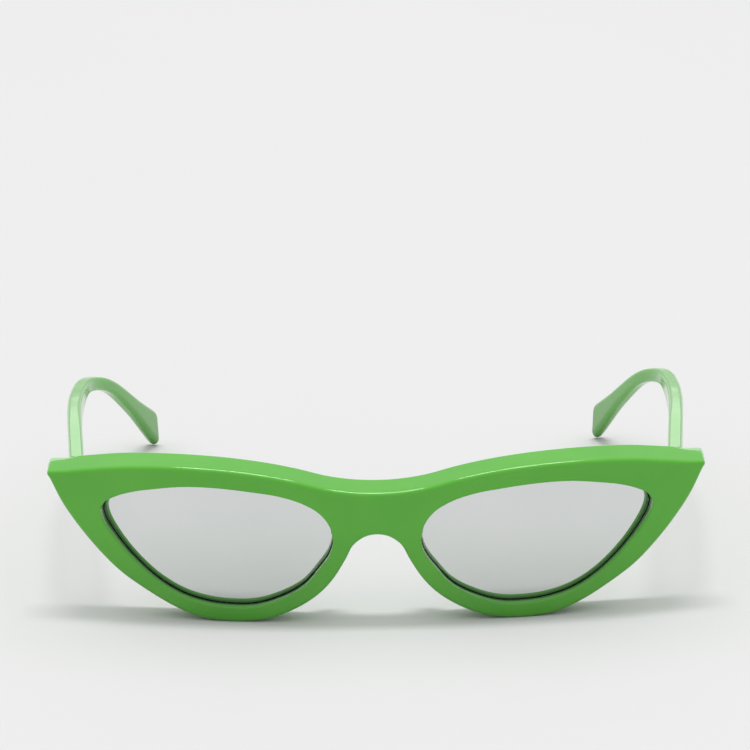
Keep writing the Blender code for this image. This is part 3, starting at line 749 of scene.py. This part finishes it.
# --------------------------------------------------------------------- build
green = acetate("acetate_green", (0.066, 0.385, 0.011), (0.084, 0.422, 0.018))
# The groove's dark green is painted shade: the dark line of shade seen beside
# the lenses. Its higher roughness is a guess.
groove_painted_shade = clouded("acetate_groove_painted_shade", (0.012, 0.12, 0.004), (0.018, 0.15, 0.006),
                       roughness=0.35)
pad_green = acetate("nose_pad_green", (0.10, 0.46, 0.03), (0.12, 0.51, 0.04))
coat = mirror_coat()
tint = clouded("lens_rear_tint", (0.035, 0.037, 0.036), (0.05, 0.052, 0.05),
               roughness=0.05)
lens_edge = clouded("lens_edge_tint", (0.05, 0.052, 0.05), (0.08, 0.08, 0.08),
                    roughness=0.25)
steel = metal("hinge_steel", (0.55, 0.54, 0.51), (0.68, 0.67, 0.64),
              low=0.22, high=0.38, grain=(1.0, 1.0, 0.15))
screw = metal("screw_steel", (0.62, 0.61, 0.59), (0.76, 0.75, 0.73),
              low=0.16, high=0.3, grain=(1.0, 1.0, 1.0))
wire = metal("core_wire", (0.52, 0.52, 0.52), (0.66, 0.66, 0.66),
             low=0.28, high=0.42, grain=(1.0, 0.1, 1.0))

front = build_front("front_acetate", [green, groove_painted_shade])
cut_hinge_pockets(front)
finish_piece(front, [], "front", "front_frame")

for side, mirror in (("right", False), ("left", True)):
    lens = build_lens("lens_mirrored_" + side, mirror)
    finish_piece(lens, [coat, tint, lens_edge], "front", "lens_" + side)
    pad = build_nose_pad("pad_" + side, mirror)
    finish_piece(pad, [pad_green], "front", "nose_pad_" + side)
    temple = build_temple("arm_" + side, mirror)
    finish_piece(temple, [green], "temple_" + side, "temple_" + side)

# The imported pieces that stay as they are, and their materials.
KEPT = (("hinge_", steel), ("pivot_screw", screw), ("front_screw", screw),
        ("temple_screw", screw), ("core_wire", wire))
for name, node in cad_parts.items():
    for start, material in KEPT:
        if name.startswith(start):
            node.data.materials.clear()
            node.data.materials.append(material)

# --------------------------------------------------------------------- stage
FLOOR_HALF = 6.0                # metres
PAPER_DARK, PAPER_LIGHT = 0.632, 0.642
floor_mesh = bpy.data.meshes.new("floor")
floor_mesh.from_pydata([(x * FLOOR_HALF, y * FLOOR_HALF, 0.0)
                        for x, y in ((-1, -1), (1, -1), (1, 1), (-1, 1))],
                       [], [(0, 1, 2, 3)])
floor = bpy.data.objects.new("floor", floor_mesh)
bpy.context.scene.collection.objects.link(floor)
paper, paper_nodes, paper_shader = new_material("floor_paper", metallic=0.0, roughness=0.9)
paper_cloud = noise(paper_nodes, scale=3.0, detail=2.0)
paper_nodes.link(two_tone(paper_nodes, paper_cloud, PAPER_DARK, PAPER_LIGHT),
                 paper_shader.inputs["Base Color"])
paper_shader.inputs["Specular IOR Level"].default_value = 0.1
floor.data.materials.append(paper)


def add_area(name, place, aim, size, power):
    """A rectangular soft light at `place`, facing `aim`."""
    data = bpy.data.lights.new(name, 'AREA')
    data.shape = 'RECTANGLE'
    data.size, data.size_y = size
    data.energy = power
    ob = bpy.data.objects.new(name, data)
    ob.location = place
    ob.rotation_mode = 'QUATERNION'
    ob.rotation_quaternion = (Vector(aim) - Vector(place)).to_track_quat('-Z', 'Y')
    bpy.context.scene.collection.objects.link(ob)


add_area("softbox_top", place=(0.0, -0.1, 4.0), aim=(0.0, 0.0, 0.0),
         size=(1.8, 0.6), power=66.0)
add_area("panel_back", place=(0.0, 3.5, 0.95), aim=(0.0, 0.0, 0.02),
         size=(4.0, 0.9), power=8.7)

# Brightness of the surroundings: place 0 is straight down and 1 straight up.
SURROUND = [(0.0, 0.70), (0.80, 0.70), (0.86, 1.12), (1.0, 1.12)]

world = bpy.data.worlds.new("studio")
bpy.context.scene.world = world
world.use_nodes = True
sky = Nodes(world.node_tree)
background = world.node_tree.nodes["Background"]
coords = sky.add("ShaderNodeTexCoord")
split = sky.add("ShaderNodeSeparateXYZ")
sky.link(coords.outputs["Generated"], split.inputs["Vector"])
height = map_range(sky, split.outputs["Z"], 0.0, 1.0, -1.0, 1.0)
sky.link(ramp(sky, height, SURROUND), background.inputs["Color"])
background.inputs["Strength"].default_value = 1.0

# -------------------------------------------------------------------- camera
CAMERA_PLACE = (0.0001, -1.00729, 0.33912)      # metres
CAMERA_LENS, CAMERA_SENSOR = 206.35, 36.0       # millimetres
CAMERA_NEAR, CAMERA_FAR = 0.05, 50.0            # metres
CAMERA_PITCH = math.radians(16.561)
CAMERA_ROLL = math.radians(0.9)
camera_data = bpy.data.cameras.new("camera")
camera_data.lens = CAMERA_LENS
camera_data.sensor_width = CAMERA_SENSOR
camera_data.clip_start, camera_data.clip_end = CAMERA_NEAR, CAMERA_FAR
camera = bpy.data.objects.new("camera", camera_data)
bpy.context.scene.collection.objects.link(camera)
camera.matrix_world = (Matrix.Translation(CAMERA_PLACE)
                       @ Matrix.Rotation(math.pi / 2 - CAMERA_PITCH, 4, 'X')
                       @ Matrix.Rotation(-CAMERA_ROLL, 4, 'Z'))
bpy.context.scene.camera = camera
bpy.context.scene.view_settings.view_transform = 'Standard'
